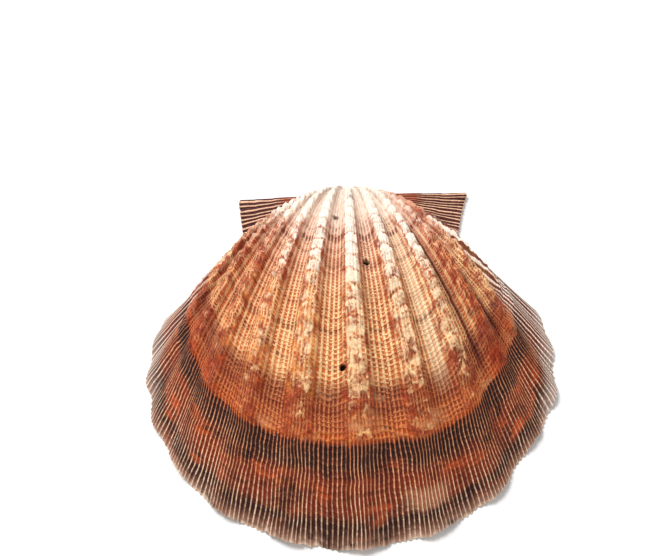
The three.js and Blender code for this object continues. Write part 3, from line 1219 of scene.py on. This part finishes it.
def paint_white(tree, at, colour):
    """White and cream on the young shell and on the knuckles, with a brown arc over each."""
    cream = colour_ramp(tree, at["growth"], CREAM_COLOURS)
    # the cream is darker and pinker in the gaps between ribs: partly the shell's own tint, partly
    # painted shade
    gap_tint_and_shade = rise(tree, at["rib"], 0.2, 0.7, 1.0, 0.0)
    gap_tint_and_shade = product(tree, gap_tint_and_shade, rise(tree, at["growth"], 0.1, 0.3), 0.5)
    cream = mix_colours(tree, gap_tint_and_shade, cream, GAP_TINT_AND_SHADE)
    honey = spots(tree, at, per_fan=52, per_growth=64, seed=27.0, share=0.5, soft=0.35)
    honey = product(tree, honey, rise(tree, at["growth"], 0.34, 0.54, 0.2, 0.95))
    cream = mix_colours(tree, honey, cream, HONEY)
    ragged = add_node(tree, "ShaderNodeTexNoise", noise_dimensions="2D")
    across = maths(tree, "MULTIPLY", at["fan"], 38.0)
    along = maths(tree, "MULTIPLY", at["growth"], 54.0)
    feed(tree, ragged.inputs["Vector"], pair(tree, across, along))
    feed(tree, ragged.inputs["Scale"], 1.0)
    feed(tree, ragged.inputs["Detail"], 5.0)
    feed(tree, ragged.inputs["Roughness"], 0.62)
    feed(tree, ragged.inputs["Distortion"], 0.5)
    edge = maths(tree, "MULTIPLY_ADD", ragged.outputs[0], 1.8, -0.9)
    level = maths(tree, "ADD", at["white"], edge)
    arc = product(
        tree,
        band(tree, maths(tree, "FRACT", at["knuckle"]), 0.92, 0.03, 0.13),
        rise(tree, at["rib"], 0.3, 0.7),
        rise(tree, at["growth"], 0.08, 0.16),
        rise(tree, at["growth"], 0.5, 0.7, 1.0, 0.3),
    )
    level = maths(tree, "SUBTRACT", level, product(tree, arc, 0.3))
    colour = mix_colours(tree, rise(tree, level, 0.32, 0.8), colour, cream)
    arc = product(tree, arc, rise(tree, ragged.outputs[0], 0.42, 0.62), 0.5)
    return mix_colours(tree, arc, colour, ARC_BROWN)


def stain_and_gap_shade(tree, at, colour):
    """Red brown over the rear side, a front rib and shoulder, and painted shade in the tight gaps
    beside the outer ribs.
    """
    colour = mix_colours(tree, at["red"], colour, RED_STAIN, blend="MULTIPLY")
    # painted shade: the tight gaps beside the outer ribs are darkened
    return mix_colours(tree, at["crease"], colour, GAP_SHADE_COLOUR, blend="MULTIPLY")


HALT_MARKS = (
    (0.36, 0.003, 0.35),
    (0.39, 0.005, 0.85),
    (0.43, 0.003, 0.35),
    (0.47, 0.003, 0.4),
    (0.612, 0.003, 0.6),
    (0.766, 0.004, 0.7),
)


def paint_halts(tree, at, colour):
    """Thin dark bands where growth stopped for a while, strongest in the grooves. HALT_MARKS
    has the growth, the half width and the strength of each."""
    marks = 0.0
    for halt, half_width, strength in HALT_MARKS:
        mark = maths(tree, "MULTIPLY", band(tree, at["growth"], halt, half_width, 0.004), strength)
        marks = maths(tree, "MAXIMUM", marks, mark)
    in_groove = rise(tree, at["ridge"], 0.1, 0.9, 1.0, 0.25)
    between_ribs = rise(tree, at["rib"], 0.35, 0.7, 1.0, 0.25)
    marks = product(tree, marks, in_groove, between_ribs)
    return mix_colours(tree, marks, colour, HALT_BROWN)


def paint_sides(tree, at, colour):
    """The grey-brown outer strips below the shoulders, wider towards the rim."""
    towards_rim = rise(tree, at["growth"], 0.9, 1.0, 0.0, 0.14)
    reach = maths(tree, "ADD", maths(tree, "ABSOLUTE", at["fan"]), towards_rim)
    front = rise(tree, at["fan"], -0.1, 0.1)
    front_side = product(tree, rise(tree, reach, 0.74, 0.86), front, 0.92)
    rear_side = product(tree, rise(tree, reach, 0.76, 0.96), inverse(tree, front), 0.6)
    grey = colour_ramp(tree, at["ridge"], SIDE_COLOURS)
    fading = rise(tree, at["growth"], 0.92, 1.0, 0.0, 0.4)
    faded = mix_colours(tree, fading, grey, SIDE_AT_RIM)
    sides = maths(tree, "ADD", front_side, rear_side)
    grown = rise(tree, at["growth"], 0.36, 0.48)
    return mix_colours(tree, product(tree, sides, grown), colour, faded)


def paint_flanks(tree, at, colour):
    """The steep walls below the outermost riblets carry growth lines only."""
    wall = rise(tree, maths(tree, "ABSOLUTE", at["fan"]), 0.986, 0.994)
    bare = colour_ramp(tree, at["growth"], WALL_COLOURS)
    lined = mix_colours(tree, product(tree, at["line"], 0.55), bare, WALL_LINE)
    return mix_colours(tree, product(tree, wall, 0.9), colour, lined)


# Painted shade: the boreholes are darkened inside, most in their middle and in the deepest ones.
def paint_boreholes(tree, at, colour):
    return mix_colours(tree, at["hole"], colour, BOREHOLE_SHADE)


# %% Small relief of the outer face, under the size of the mesh
def outer_bump(tree, at, fine_grain):
    """Grain, crust on the grown ribs, growth lines, and knobs on the ribs of the young shell."""
    lumps = use_group(tree, GRAIN, size=2.4 * MM).outputs["Height"]
    on_crust = product(tree, rise(tree, at["rib"], 0.25, 0.8, 0.12, 1.0), at["before_halt"])
    height = maths(tree, "MULTIPLY_ADD", product(tree, lumps, on_crust), 1.5, fine_grain)
    part = maths(tree, "FRACT", at["knuckle"])
    knobs = product(
        tree,
        rise(tree, part, 0.0, 0.3),
        inverse(tree, part),
        rise(tree, at["rib"], 0.3, 0.8),
        rise(tree, at["growth"], 0.05, 0.12),
        rise(tree, at["growth"], 0.24, 0.32, 1.0, 0.0),
        4.0,
    )
    height = maths(tree, "ADD", height, knobs)
    threads = product(
        tree,
        at["line"],
        rise(tree, at["growth"], 0.8, 0.84, 0.9, 0.5),
        rise(tree, at["rib"], 0.4, 0.85, 1.0, 0.25),
    )
    return maths(tree, "ADD", height, threads)


# %% Outer finish
SHELL_SHEEN = 0.22
OUTER_LAYERS = (
    paint_ribs,
    paint_last_growth,
    paint_white,
    stain_and_gap_shade,
    paint_halts,
    paint_sides,
    paint_flanks,
    paint_boreholes,
)


def read_place(tree):
    """Everything that the layers ask of a place on the outer face, by name."""
    # two of these values are masks for painted shade: the tight rib gaps and the boreholes
    names = ("fan", "growth", "rib", "white", "red", "crease", "knuckle", "hole")
    at = {name: read_value(tree, name) for name in names}
    at["phase"] = read_value(tree, "riblet")
    jitter = maths(tree, "SUBTRACT", cell_number(tree, at["phase"], 0.0, 7.0), 0.5)
    at["growth"] = maths(tree, "MULTIPLY_ADD", jitter, 0.006, at["growth"])
    lines = use_group(tree, GROWTH_LINES, fan=at["fan"], growth=at["growth"], count=125.0)
    at["line"], at["row"] = lines.outputs["Line"], lines.outputs["Row"]
    at["ridge"] = riblet_mask(tree, at["phase"], at["growth"])
    at["before_halt"] = rise(tree, at["growth"], *SHARP_HALT, 1.0, 0.0)
    at["in_weave"] = product(tree, rise(tree, at["growth"], 0.28, 0.38), at["before_halt"])
    at["on_grown"] = product(tree, rise(tree, at["growth"], 0.32, 0.4), at["before_halt"])
    return at


def make_outer_finish():
    material, tree, shader = new_material("shell_outer", 0.5)
    at = read_place(tree)
    colour = paint_weave(tree, at)
    for paint in OUTER_LAYERS:
        colour = paint(tree, at, colour)
    feed(tree, shader.inputs["Base Color"], colour)
    grain = use_group(tree, GRAIN, size=0.5 * MM)
    feed(tree, shader.inputs["Roughness"], rise(tree, grain.outputs["Tooth"], 0.3, 0.7, 0.4, 0.62))
    shader.inputs["Specular IOR Level"].default_value = SHELL_SHEEN
    height = outer_bump(tree, at, grain.outputs["Height"])
    raise_surface(tree, shader, height, distance_mm=0.4, strength=0.8)
    return material


# %% [markdown]
# ## Finish of the ears and of the inside
# The ears carry pale riblets on a very dark ground, and the smooth strip of the front ear is
# pinkish brown. The inside is the layer that touched the soft body: porcelain white, with a
# brown band along the rim where pigment went on top, and a round scar of the closing muscle.

# %% Ear finish
EAR_RIDGE_COLOURS = ((0.1, (206, 150, 114)), (0.6, (204, 128, 94)), (0.68, (242, 192, 158)))
EAR_GROOVE_COLOURS = (
    (0.1, (146, 62, 38)),
    (0.6, (116, 36, 20)),
    (0.66, (74, 20, 10)),
    (1.0, (60, 15, 8)),
)
EAR_SPECKLE = on_screen(232, 190, 150)
STRIP_BROWN, STRIP_PINK = on_screen(190, 120, 92), on_screen(222, 172, 148)
EAR_LINE = on_screen(120, 60, 44)


def make_ear_finish():
    """Finish of the upper faces of both ears. Their fan is the ray, and their rib is the side."""
    material, tree, shader = new_material("shell_ear", 0.48)
    ray, growth = read_value(tree, "fan"), read_value(tree, "growth")
    wave, side = read_value(tree, "riblet"), read_value(tree, "rib")
    ridge = colour_ramp(tree, growth, EAR_RIDGE_COLOURS)
    groove = colour_ramp(tree, growth, EAR_GROOVE_COLOURS)
    colour = mix_colours(tree, rise(tree, wave, 0.58, 0.92), groove, ridge)
    speckle = blotches(tree, ray, growth, 30, 22, 61.0, 0.35)
    near_beak = rise(tree, growth, 0.35, 0.65, 0.6, 0.0)
    colour = mix_colours(tree, maths(tree, "MULTIPLY", speckle, near_beak), colour, EAR_SPECKLE)
    smooth_from = FRONT_EAR["smooth_from"]
    on_front = rise(tree, side, -0.5, 0.5)
    in_strip = maths(tree, "MULTIPLY", rise(tree, ray, smooth_from, smooth_from + 0.04), on_front)
    pink = blotches(tree, ray, growth, 9, 14, 67.0, 0.4)
    strip = mix_colours(tree, pink, STRIP_BROWN, STRIP_PINK)
    colour = mix_colours(tree, in_strip, colour, strip)
    lines = use_group(tree, GROWTH_LINES, fan=ray, growth=growth, count=30.0)
    shade = maths(tree, "MULTIPLY", lines.outputs["Line"], 0.18)
    colour = mix_colours(tree, shade, colour, EAR_LINE)
    feed(tree, shader.inputs["Base Color"], colour)
    shader.inputs["Specular IOR Level"].default_value = SHELL_SHEEN
    grain = use_group(tree, GRAIN, size=0.4 * MM)
    feed(tree, shader.inputs["Roughness"], rise(tree, grain.outputs["Tooth"], 0.3, 0.7, 0.38, 0.6))
    line_height = maths(tree, "MULTIPLY", lines.outputs["Line"], 0.6)
    height = maths(tree, "ADD", maths(tree, "MULTIPLY", grain.outputs["Height"], 0.5), line_height)
    raise_surface(tree, shader, height, distance_mm=0.25, strength=0.6)
    return material


# %% Inner finish
MUSCLE_SCAR = Vector((-0.011, MM * (HINGE_Y - 52), 0.0))
SCAR_RADIUS = 0.017
INSIDE_COLOURS = (
    (0.05, (196, 160, 130)),
    (0.2, (236, 220, 202)),
    (0.4, (250, 244, 236)),
    (0.78, (247, 236, 226)),
    (0.87, (226, 186, 164)),
    (0.93, (150, 88, 70)),
    (0.975, (104, 54, 44)),
    (1.0, (190, 146, 118)),
)
INSIDE_TINT = on_screen(232, 206, 188)
SCAR_BROWN = on_screen(206, 170, 148)
INSIDE_LINE = on_screen(190, 150, 130)


def make_inner_finish():
    material, tree, shader = new_material("shell_inner", 0.3)
    fan, growth = read_value(tree, "fan"), read_value(tree, "growth")
    colour = colour_ramp(tree, growth, INSIDE_COLOURS)
    tint = blotches(tree, fan, growth, 14, 5, 81.0, 0.45)
    colour = mix_colours(tree, maths(tree, "MULTIPLY", tint, 0.3), colour, INSIDE_TINT)
    plan = add_node(tree, "ShaderNodeVectorMath", operation="MULTIPLY")
    feed(tree, plan.inputs[0], add_node(tree, "ShaderNodeTexCoord").outputs["Object"])
    plan.inputs[1].default_value = (1, 1, 0)
    away = add_node(tree, "ShaderNodeVectorMath", operation="DISTANCE")
    feed(tree, away.inputs[0], plan.outputs[0])
    away.inputs[1].default_value = MUSCLE_SCAR
    ring = band(tree, away.outputs["Value"], SCAR_RADIUS, 0.0004, 0.0012)
    colour = mix_colours(tree, maths(tree, "MULTIPLY", ring, 0.35), colour, SCAR_BROWN)
    lines = use_group(tree, GROWTH_LINES, fan=fan, growth=growth, count=40.0)
    shade = maths(tree, "MULTIPLY", lines.outputs["Line"], 0.08)
    colour = mix_colours(tree, shade, colour, INSIDE_LINE)
    feed(tree, shader.inputs["Base Color"], colour)
    grain = use_group(tree, GRAIN, size=0.8 * MM)
    feed(tree, shader.inputs["Roughness"], rise(tree, grain.outputs["Tooth"], 0.3, 0.7, 0.2, 0.42))
    raise_surface(tree, shader, grain.outputs["Height"], distance_mm=0.12, strength=0.4)
    return material


for finish in (make_outer_finish(), make_ear_finish(), make_inner_finish()):
    shape.materials.append(finish)
print("finishes:", [material.name for material in shape.materials])

# %% [markdown]
# ## Floor, light and camera
# The floor is plain white paper. A pale sky gives soft light from all sides, and one large
# lamp high behind the shell, a little to the left, draws the ribs and riblets without hard
# shadows. A weak lamp in front softens the shade. The camera looks down on the dome from the
# front, turned a little about its own axis.

# %% Floor
FLOOR_SIZE = 6
PAPER_SHADE, PAPER_LIGHT = on_screen(248, 248, 248), on_screen(251, 251, 251)

deselect_all()
bpy.ops.mesh.primitive_plane_add(size=FLOOR_SIZE)
floor = bpy.context.object
floor.name = "floor"
paper, paper_tree, paper_shader = new_material("white_paper", 0.9)
fibre = use_group(paper_tree, GRAIN, size=2.0 * MM)
fibre_share = rise(paper_tree, fibre.outputs["Tooth"], 0.3, 0.7)
paper_colour = mix_colours(paper_tree, fibre_share, PAPER_SHADE, PAPER_LIGHT)
feed(paper_tree, paper_shader.inputs["Base Color"], paper_colour)
floor.data.materials.append(paper)

# %% Light
SKY_COLOUR = (1.0, 0.99, 0.98, 1)
SKY_STRENGTH = 0.42

studio = bpy.data.worlds.new("studio")
studio.use_nodes = True
sky = studio.node_tree.nodes["Background"]
sky.inputs["Color"].default_value = SKY_COLOUR
sky.inputs["Strength"].default_value = SKY_STRENGTH
bpy.context.scene.world = studio
bpy.context.scene.view_settings.view_transform = "Standard"


def add_lamp(name, place, size, watts):
    """A square lamp that faces the middle of the shell."""
    deselect_all()
    bpy.ops.object.light_add(type="AREA", location=place)
    lamp = bpy.context.object
    lamp.name = name
    lamp.data.size = size
    lamp.data.energy = watts
    lamp.rotation_euler = (-lamp.location).to_track_quat("-Z", "Y").to_euler()
    return lamp


add_lamp("window", place=(-0.4, 0.45, 0.75), size=0.6, watts=11)
add_lamp("fill", place=(0.5, -0.6, 0.5), size=0.6, watts=1.5)

# %% Camera
CAMERA_PLACE = Vector((0.007, MM * (HINGE_Y - 254.6), 0.2735))
CAMERA_RIGHT = Vector((0.9986, 0.0057, -0.0519))
CAMERA_UP = Vector((0.0278, 0.7828, 0.6217))
CAMERA_LENS = 53.19

bpy.ops.object.camera_add(location=CAMERA_PLACE)
camera = bpy.context.object
back = CAMERA_RIGHT.cross(CAMERA_UP).normalized()
up = back.cross(CAMERA_RIGHT)
turn = Matrix((CAMERA_RIGHT, up, back)).transposed().to_4x4()
camera.matrix_world = Matrix.Translation(CAMERA_PLACE) @ turn
camera.data.lens = CAMERA_LENS
bpy.context.scene.camera = camera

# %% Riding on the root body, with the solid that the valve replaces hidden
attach(valve, "root")
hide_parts("scallop_valve")
